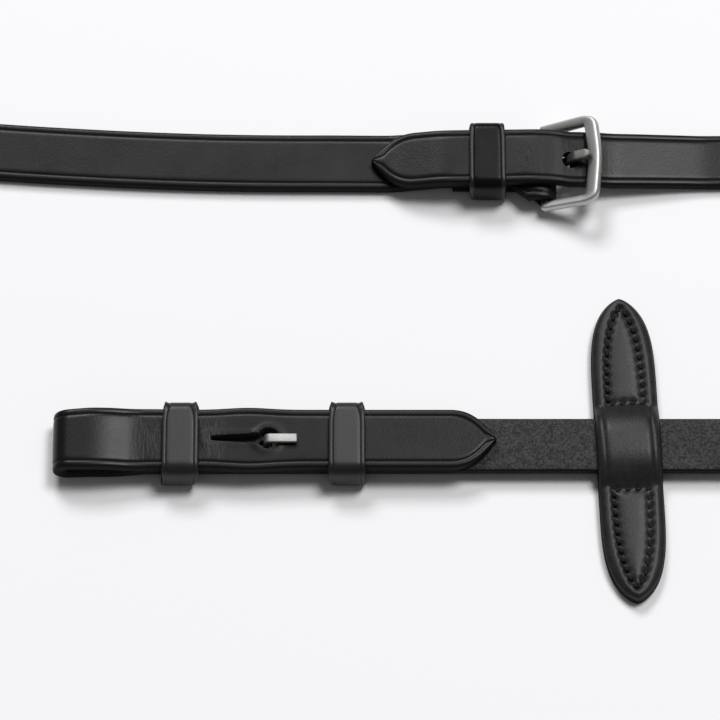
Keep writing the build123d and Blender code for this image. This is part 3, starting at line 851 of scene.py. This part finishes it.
keeperLow, keeperHigh = boxOf("buckle_keeper")
keeperPlace = {"loopX": (keeperLow[0] + keeperHigh[0]) / 2, "line": buckleLine, "heading": 1}
keeper["low"], keeper["high"] = keeperLow[2] + keeper["floorRise"], keeperHigh[2] - keeper["topFall"]
makeBand("buckleKeeperBand", keeperPlace, keeperLeather, keeper, ["buckle_keeper"], "reins")
print("runners and keeper made")


# the hook studs: a flat base under the strap, a neck, and a hook bent over the billet
stud = {"width": 2.6, "thick": 0.62, "neckThicker": 0.12, "neckLength": 6, "corner": 0.3,
        "endRound": 0.35, "endFall": 0.35, "path": [(58.1, 1.5, 0), (58.1, 8.85, 1.0), (66.6, 8.85, 0)],
        "spacing": 0.2, "ease": 0.25, "base": (10.0, 5.0), "baseCorner": 0.8,
        "baseRings": [(0.97, 1.35), (1, 1.47), (1, 1.88)]}


def roundedSection(halfA, halfB, corner, steps=5):
    points = []
    for quarter, (a, b) in enumerate(((1, 1), (-1, 1), (-1, -1), (1, -1))):
        for turn in np.linspace(quarter * math.pi / 2, (quarter + 1) * math.pi / 2, steps):
            points.append((a * (halfA - corner) + corner * math.cos(turn),
                           b * (halfB - corner) + corner * math.sin(turn)))
    return np.array(points)


def makeHook(end):
    # a bar of rounded section along a flat path, with its ends eased
    route = [(away, 0, height, bend) for away, height, bend in stud["path"]]
    line = toWorld(end, layRoute(route, stud["spacing"], stud["ease"])[1])
    across = np.array((0.0, 1.0, 0.0))
    run = distanceAlong(line)
    rings = []
    for place, direction, here in zip(line, directionAlong(line), run):
        thick = stud["thick"] + stud["neckThicker"] * (here < stud["neckLength"])
        shape = roundedSection(stud["width"] / 2, thick, stud["corner"])
        toEnd = min(here, run[-1] - here)
        ease = 1 - stud["endFall"] * (1 - math.sqrt(1 - (1 - min(toEnd / stud["endRound"], 1)) ** 2))
        rings.append(place + across * shape[:, :1] * ease + np.cross(direction, across) * shape[:, 1:] * ease)
    return loftRings("hook", rings, [hookSteel])


def makeStudBase(end):
    length, width = stud["base"]
    plate = roundedSection(length / 2, width / 2, stud["baseCorner"])
    rings = [np.column_stack([plate * scale + (bitEnd["stud"], 0), np.full(len(plate), height)])
             for scale, height in stud["baseRings"]]
    return loftRings("base", toWorld(end, rings), [hookSteel])


for end in ends:
    node = f"{end['side']}_hook_stud"
    piece = joinPieces(node.replace("_", "") + "Steel", [makeHook(end), makeStudBase(end)])
    piece.data.set_sharp_from_angle(angle=math.radians(40))
    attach(piece, "reins")
    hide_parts(node)
print("hook studs made")


# the rein stops: a soft two-layer lozenge with slanted stitching and a bridge over the strap
# pucker, panel, crease, creaseSwell and edgeFalls are (height, reach), and border is (height, distance, reach)
stop = {"halfLength": 45.3, "halfWidth": 8.9, "straight": 14.0, "power": 4.0, "round": 0.65, "turn": 2.2,
        "tipHalf": 0.15, "aside": 0.4, "drop": -0.2, "wing": 4.15, "bridge": 8.0, "bridgeFoot": 12.1,
        "archPower": 2.8, "archRound": 1.1, "under": 1.65, "channelHalf": 8.65, "channelTop": 5.25,
        "channelEase": (0.5, -0.3), "underParts": (0.97, 0.5, 0, -0.5, -0.97),
        "pucker": (0.7, 0.85), "puckerLow": 0.62, "panel": (0.38, 1.9), "border": (0.3, 1.7, 1.3),
        "creaseInset": 2.75, "crease": (0.34, 0.28), "swellPart": 0.6, "creaseSwell": (0.12, 0.7),
        "edgeFalls": [(1.0, 0.5), (0.5, 1.6)],
        "rowStart": 12.9, "rowEnd": 42.0, "rowWidth": 4.9, "rowPower": 3, "rowRound": 0.7, "rowSteps": 400,
        "rowCrowd": 0.8, "rowBaseSteps": 60, "rowEase": 2, "pitch": 2.75,
        "across": 40, "step": 0.55, "crowdAcross": 0.5, "crowdAlong": 0.35,
        "baseProfile": [(-0.94, 1.62), (-1.0, 1.27), (-1.0, 0.45), (-0.95, 0.05), (0, 0.05), (0.95, 0.05),
                        (1.0, 0.45), (1.0, 1.27), (0.94, 1.62), (0, 1.62)],
        "baseFinish": [1, 1, 1, 0, 0, 1, 1, 1, 0, 0]}
stitch = {"length": 2.3, "thick": 1.1, "slant": math.radians(24), "rise": 0.12, "wide": 1.15, "flat": 0.8,
          "dive": 0.35, "divePower": 4, "taper": 0.97, "taperPower": 3.2, "rows": 9, "sides": 10, "ahead": 0.5}


def stopWidth(along):
    part = np.clip((np.abs(along) - stop["straight"]) / (stop["halfLength"] - stop["straight"]), 0, 1)
    return stop["halfWidth"] * (1 - part ** stop["power"]) ** stop["round"]


def rowWidth(along):
    part = np.clip((np.abs(along) - stop["rowStart"]) / (stop["rowEnd"] - stop["rowStart"]), 0, 1)
    return stop["rowWidth"] * (1 - part ** stop["rowPower"]) ** stop["rowRound"]


def rowPoints():
    # the stitch line of one wing: up one side, over the point, down the other, and across the base
    part = np.linspace(0, 1, stop["rowSteps"]) ** stop["rowCrowd"]
    along = stop["rowStart"] + (stop["rowEnd"] - stop["rowStart"]) * part
    up = np.stack([-rowWidth(along), along], 1)
    back = np.linspace(stop["rowWidth"], -stop["rowWidth"], stop["rowBaseSteps"])
    base = np.stack([back, np.full(len(back), stop["rowStart"])], 1)
    loop = np.concatenate([up, up[::-1][1:] * (-1, 1), base[1:]])
    return loop, distanceAlong(loop)


rowLoop, rowRun = rowPoints()


def rowDistance(across, along):
    # distance to the stitch line, and how far round it the nearest point is
    gap = np.hypot(rowLoop[:, 0] - across, rowLoop[:, 1] - abs(along))
    nearest = int(np.argmin(gap))
    return gap[nearest], rowRun[nearest]


def bell(distance, reach):
    return math.exp(-((distance / reach) ** 2))


def stopTop(across, along):
    bridgePart = (1 - min(abs(along) / stop["bridgeFoot"], 1) ** stop["archPower"]) ** stop["archRound"]
    height = stop["wing"] + (stop["bridge"] - stop["wing"]) * bridgePart
    edge = float(stopWidth(along)) - abs(across)
    onWing = float(smoothStep(stop["rowStart"] - stop["rowEase"], stop["rowStart"], abs(along)))
    gap, roundRow = rowDistance(across, along)
    low = stop["puckerLow"]
    pucker = low + (1 - low) * math.cos(2 * math.pi * roundRow / stop["pitch"])
    height -= onWing * stop["pucker"][0] * pucker * bell(gap, stop["pucker"][1])
    if abs(across) < rowWidth(along) and abs(along) > stop["rowStart"]:
        height += onWing * (stop["panel"][0] * (1 - bell(gap, stop["panel"][1])))
    else:
        swell, away, reach = stop["border"]
        height += onWing * (swell * bell(gap - away, reach))
    inset, (depth, reach), (swell, swellReach) = stop["creaseInset"], stop["crease"], stop["creaseSwell"]
    height -= depth * ((1 - onWing) * bell(edge - inset, reach))
    height += (1 - onWing) * swell * bell(edge - stop["swellPart"] * inset, swellReach)
    for fall, reach in stop["edgeFalls"]:
        height -= fall * math.exp(-edge / reach)
    return height


def crowded(count, share):
    # places from -1 to 1, closer together near the ends
    even = np.linspace(-1, 1, count + 1)
    return np.sin(even * math.pi / 2) * share + even * (1 - share)


def stopStations():
    # (place along the stop, half width there)
    places = stop["halfLength"] * crowded(int(2 * stop["halfLength"] / stop["step"]), stop["crowdAlong"])
    return [(along, max(float(stopWidth(along)), stop["tipHalf"])) for along in places]


def makeStopTop(name, place):
    spread = crowded(stop["across"], stop["crowdAcross"])
    channelFrom, channelTo = [stop["channelHalf"] + ease for ease in stop["channelEase"]]
    rings = []
    for along, half in stopStations():
        over = [(across, along, stopTop(across, along)) for across in spread * half]
        inChannel = float(smoothStep(channelFrom, channelTo, abs(along + stop["drop"])))
        low = stop["under"] + (stop["channelTop"] - stop["under"]) * inChannel
        rings.append(over + [(half * part, along, low) for part in stop["underParts"]])
    finish = [0] * stop["across"] + [1, 2, 2, 2, 2, 1]
    finish[0] = finish[stop["across"] - 1] = 1
    return loftRings(name, place(rings), [stopLeather, edging, flesh], finish, sharpAngle=55)


def makeStopBase(name, place):
    rings = [[(half * part, along, height) for part, height in stop["baseProfile"]] for along, half in stopStations()]
    return loftRings(name, place(rings), [flesh, edging], stop["baseFinish"], sharpAngle=55)


def makeStitch(centre, direction):
    # a short length of thread that dives into the leather at both ends
    up = np.array((0, 0, 1.0))
    across = np.cross(up, direction)
    thick = stitch["thick"]
    rings = []
    for part in np.linspace(-1, 1, stitch["rows"]):
        swell = math.sqrt(max(1 - (abs(part) * stitch["taper"]) ** stitch["taperPower"], 0))
        dive = stitch["dive"] * thick * part ** stitch["divePower"]
        middle = centre + direction * stitch["length"] / 2 * part - up * dive
        rings.append([middle + thick / 2 * swell * (across * math.cos(turn) * stitch["wide"]
                                                    + up * math.sin(turn) * stitch["flat"])
                      for turn in fullTurn(stitch["sides"])])
    return loftRings("stitch", rings, [thread], sharpAngle=70)


def makeStopStitches(place):
    parts = []
    count = int(round(rowRun[-1] / stop["pitch"]))
    cosine, sine = math.cos(stitch["slant"]), math.sin(stitch["slant"])
    for wing in (-1, 1):
        for number in range(count):
            here = rowRun[-1] * (number + 0.5) / count
            middle, ahead = [pointsAt(here + on, rowRun, rowLoop) for on in (0, stitch["ahead"])]
            heading = unit(ahead - middle) * (1, wing)
            heading = np.array((heading[0] * cosine - heading[1] * sine, heading[0] * sine + heading[1] * cosine))
            low = stopTop(*middle) + stitch["rise"]
            centre = place((middle[0], middle[1] * wing, low))
            tip = place((middle[0] + heading[0], middle[1] * wing + heading[1], low))
            parts.append(makeStitch(centre, unit(tip - centre)))
    return parts


for end in ends:
    name = f"{end['side']}_stop"
    middle = middleOf(f"{name}_top")
    lean = math.radians(stop["turn"])

    def place(points, middle=middle, heading=end["heading"], lean=lean):
        # (across the stop, along it, height) to the frame's axes
        points = np.asarray(points, float)
        x, y = points[..., 0] + stop["aside"], points[..., 1] + stop["drop"]
        return np.stack([middle[0] + heading * (x * math.cos(lean) - y * math.sin(lean)),
                         middle[1] + heading * (x * math.sin(lean) + y * math.cos(lean)), points[..., 2]], -1)

    top = makeStopTop(f"{end['side']}StopTop", place)
    base = makeStopBase(f"{end['side']}StopBase", place)
    stitches = joinPieces(f"{end['side']}StopStitches", makeStopStitches(place))
    for piece, node, slot in ((top, f"{name}_top", "grain_leather"), (base, f"{name}_base", "grain_leather"),
                              (stitches, f"{name}_stitching", "thread")):
        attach(piece, name)
        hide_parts(node)
print("rein stops made")


# the buckle: a cast frame with a raised crest, and its bar, which is given a near-black steel as painted shade
# outline is (forward, across, bend) in the frame's tilted plane; section is in halves of its width and thickness
buckle = {"tilt": math.radians(26), "railHalf": 1.45, "frontHalf": 2.1, "frontEase": (0.25, 0.95), "half": 1.4,
          "middle": 7, "spacing": 0.35, "ease": 0.5, "endRound": 1.1, "endThick": 0.25,
          "outline": [(-1.4, 11.3, 0), (14.2, 12.0, 2.6), (15.5, 0, 40), (14.2, -12.8, 2.6), (-1.4, -12.2, 0)],
          "section": [(-1, -0.75), (-1.02, 0.05), (-0.84, 0.6), (-0.1, 0.86), (0.55, 1.0), (0.8, 0.9), (0.98, 0.45),
                      (1.0, -0.45), (0.72, -0.98), (-0.2, -1.0), (-0.75, -1.0)],
          "bar": [(-12.0, 1.2), (-11.7, 1.5), (10.8, 1.5), (11.1, 1.2)], "barSides": 24}
barMiddle = np.array((buckleX, buckleMiddle, barLevel))


def tilted(points):
    # (forward, across, height) in the frame's own tilted plane to the frame's axes
    points = np.asarray(points, float)
    cosine, sine = math.cos(buckle["tilt"]), math.sin(buckle["tilt"])
    return barMiddle + np.stack([points[..., 0] * cosine - points[..., 2] * sine, points[..., 1],
                                 points[..., 0] * sine + points[..., 2] * cosine], -1)


def makeBuckleFrame():
    route = [(forward, across, 0, bend) for forward, across, bend in buckle["outline"]]
    line = layRoute(route, buckle["spacing"], buckle["ease"])[1]
    section = np.array(buckle["section"])
    rings = []
    for step, (place, direction) in enumerate(zip(line, directionAlong(line))):
        front = float(smoothStep(*buckle["frontEase"], abs(direction[1])))
        half = buckle["railHalf"] + (buckle["frontHalf"] - buckle["railHalf"]) * front
        toEnd = min(step, len(line) - 1 - step) * buckle["spacing"]
        ease = math.sqrt(1 - (1 - min(toEnd / buckle["endRound"], 1)) ** 2)
        ease = ease * (1 - buckle["endThick"]) + buckle["endThick"]
        outward = np.cross(direction, (0, 0, 1.0))
        outward = outward if outward @ (place - (buckle["middle"], 0, 0)) > 0 else -outward
        ring = place + outward * section[:, :1] * half * ease
        ring[:, 2] += section[:, 1] * buckle["half"] * ease
        rings.append(ring)
    rim = loftRings("rim", tilted(rings), [steel, shadedSteel], sharpAngle=180)
    rings = [[(radius * math.cos(turn), across, radius * math.sin(turn)) for turn in fullTurn(buckle["barSides"])]
             for across, radius in buckle["bar"]]
    # the bar takes the near-black steel, as painted shade
    bar = loftRings("bar", tilted(rings), [steel, shadedSteel], [1] * buckle["barSides"])
    piece = joinPieces("buckleRim", [rim, bar])
    smooth = piece.modifiers.new("smooth", "SUBSURF")
    smooth.levels = smooth.render_levels = 1
    return applyModifiers(piece)


# loop is (radius, side) round the tongue's ring; path is (forward, height, half width, half thickness)
tongue = {"halfWidth": 1.4, "root": 7.4, "corner": 0.32, "stations": 60, "loopSides": 32,
          "loop": [(1.62, -1), (2.4, -1), (2.55, -0.85), (2.55, 0.85), (2.4, 1), (1.62, 1)],
          "path": [(0.2, 1.9, 1.15, 0.55), (2.0, 1.0, 1.15, 0.6), (3.6, 0.15, 1.15, 0.6), (5.6, 0.2, 1.2, 0.64),
                   (6.6, 0.55, 1.22, 0.7), (7.4, 1.0, 1.25, 0.76), (8.2, 1.5, 1.25, 0.82), (9.7, 2.25, 1.3, 0.95),
                   (10.5, 2.5, 1.36, 1.0), (13.7, 2.5, 1.36, 0.95), (15.0, 2.5, 0.72, 0.8), (15.2, 2.45, 0.5, 0.5)]}


def makeTongue():
    rings = [[(radius * math.cos(turn), side * tongue["halfWidth"], radius * math.sin(turn))
              for radius, side in tongue["loop"]] for turn in fullTurn(tongue["loopSides"])]
    # the ring loop takes the near-black steel, as painted shade
    loop = loftRings("loop", tilted(rings), [tongueSteel, shadedSteel], [1] * len(tongue["loop"]), roundRows=True)
    path = np.array(tongue["path"])
    places = np.linspace(path[0, 0], path[-1, 0], tongue["stations"])
    rings = []
    for forward, height, wide, deep in np.column_stack([places, pointsAt(places, path[:, 0], path[:, 1:])]):
        section = roundedSection(wide, deep, tongue["corner"])
        rings.append(np.column_stack([np.full(len(section), forward), section[:, 0], height + section[:, 1]]))
    rootRings = sum(places < tongue["root"])
    # the root, seen through the strap's hole, takes the near-black steel as painted shade; the shank keeps the tongue
    # steel
    root = loftRings("root", tilted(rings[:rootRings + 1]), [tongueSteel, shadedSteel], [1] * len(rings[0]))
    shank = loftRings("shank", tilted(rings[rootRings:]), [tongueSteel, shadedSteel])
    return joinPieces("buckleProng", [loop, root, shank])


for piece, node, body in ((makeBuckleFrame(), "buckle_frame", "reins"),
                          (makeTongue(), "buckle_tongue", "buckle_tongue")):
    piece.data.set_sharp_from_angle(angle=math.radians(42))
    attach(piece, body)
    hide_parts(node)
print("buckle made")

# frame nodes that stay: the covers under the studs and the plain stitching
for node, finish in (("near_stud_patch", flesh), ("far_stud_patch", flesh), ("chape_stitching", thread),
                     ("near_patch_stitching", thread), ("far_patch_stitching", thread)):
    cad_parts[node].data.materials.clear()
    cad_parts[node].data.materials.append(finish)
print("covers and plain stitching finished")


studio = {"view": (*viewMiddle, 0.0), "distance": 1500.0, "elevation": math.radians(65), "lens": 270,
          "floor": (0.925, 0.925, 0.94), "floorReach": 6000, "floorLevel": -0.1, "sky": 0.12, "aim": (0.03, -0.05, 0),
          "lights": {"softBox": {"place": (1.55, 1.5, 4.4), "size": (1.8, 1.8), "power": 145},
                     "backBox": {"place": (-0.9, 3.3, 3.6), "size": (2.0, 1.5), "power": 133}}}


def makeFloor():
    reach, level = studio["floorReach"], studio["floorLevel"]
    corners = [(-reach, -reach, level), (reach, -reach, level), (reach, reach, level), (-reach, reach, level)]
    floor = makePiece("floor", corners, [(0, 1, 2, 3)], [])
    finish = Finish("paleFloor", Roughness=0.9, Base_Color=(*studio["floor"], 1), Specular_IOR_Level=0)
    floor.data.materials.append(finish.material)


def makeSky():
    world = bpy.data.worlds.new("studioSky")
    world.use_nodes = True
    background = world.node_tree.nodes["Background"]
    background.inputs["Color"].default_value = (1, 1, 1, 1)
    background.inputs["Strength"].default_value = studio["sky"]
    bpy.context.scene.world = world


def makeCamera():
    x, y, z = studio["view"]
    up, back = math.sin(studio["elevation"]), math.cos(studio["elevation"])
    camera = bpy.data.cameras.new("camera")
    camera.lens = studio["lens"]
    camera.sensor_width = 36
    camera.clip_end = 50
    eye = bpy.data.objects.new("camera", camera)
    eye.location = Vector((x, y - studio["distance"] * back, z + studio["distance"] * up)) * mm
    eye.rotation_euler = (math.pi / 2 - studio["elevation"], 0, 0)
    bpy.context.scene.collection.objects.link(eye)
    bpy.context.scene.camera = eye


def makeLight(name, look):
    lamp = bpy.data.lights.new(name, "AREA")
    lamp.shape = "RECTANGLE"
    lamp.size, lamp.size_y = look["size"]
    lamp.energy = look["power"]
    light = bpy.data.objects.new(name, lamp)
    light.location = look["place"]
    light.rotation_euler = (Vector(studio["aim"]) - Vector(look["place"])).to_track_quat("-Z", "Y").to_euler()
    bpy.context.scene.collection.objects.link(light)


makeFloor()
makeSky()
makeCamera()
for name, look in studio["lights"].items():
    makeLight(name, look)
bpy.context.scene.view_settings.view_transform = "Standard"
print("floor, light and camera set")
